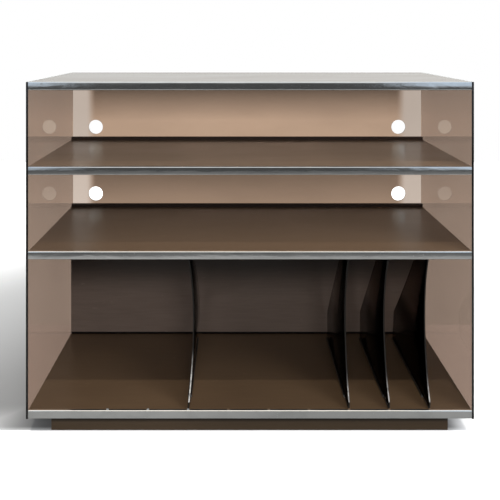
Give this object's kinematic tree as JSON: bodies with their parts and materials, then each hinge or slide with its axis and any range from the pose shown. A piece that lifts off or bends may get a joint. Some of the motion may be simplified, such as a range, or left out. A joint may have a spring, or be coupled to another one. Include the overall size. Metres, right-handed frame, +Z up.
{
  "type": "stereo cabinet",
  "caption": "Low open stereo cabinet with smoked acrylic sides and back, brown shelves with chrome front trims, a divided record compartment, cable ports and a set-back plinth.",
  "frame": {"origin": "on the ground, in the middle of the cabinet's width and depth", "axes": "+X to the right along the width, -Y towards the user, +Z up"},
  "size_m": [1, 0.42, 0.802],
  "materials": {
    "smoked_acrylic": "polished, see-through bronze",
    "brown_board": "satin brown lacquer",
    "chrome_trim": "polished",
    "dark_rail": "satin dark brown",
    "black_shoe": "satin black",
    "plinth_brown": "satin brown lacquer",
    "raw_wood": "plain beech",
    "screw_steel": "plated"
  },
  "bodies": {
    "root": {"side_panel_left": "smoked_acrylic", "side_panel_right": "smoked_acrylic", "upper_back_sheet": "smoked_acrylic", "divider_1": "smoked_acrylic", "divider_2": "smoked_acrylic", "divider_3": "smoked_acrylic", "divider_4": "smoked_acrylic", "bottom_board": "brown_board", "lower_shelf": "brown_board", "upper_shelf": "brown_board", "top_board": "brown_board", "lower_back": "brown_board", "bottom_trim": "chrome_trim", "lower_shelf_trim": "chrome_trim", "upper_shelf_trim": "chrome_trim", "top_trim": "chrome_trim", "lower_shelf_rail": "dark_rail", "upper_shelf_rail": "dark_rail", "shoe_1": "black_shoe", "shoe_2": "black_shoe", "shoe_3": "black_shoe", "shoe_4": "black_shoe", "plinth_front": "plinth_brown", "plinth_rear": "plinth_brown", "plinth_left": "plinth_brown", "plinth_right": "plinth_brown", "corner_block_front_left": "raw_wood", "corner_block_front_right": "raw_wood", "corner_block_rear_left": "raw_wood", "corner_block_rear_right": "raw_wood", "back_sheet_screws": "screw_steel", "plinth_screws": "screw_steel"}
  },
  "joints": []
}
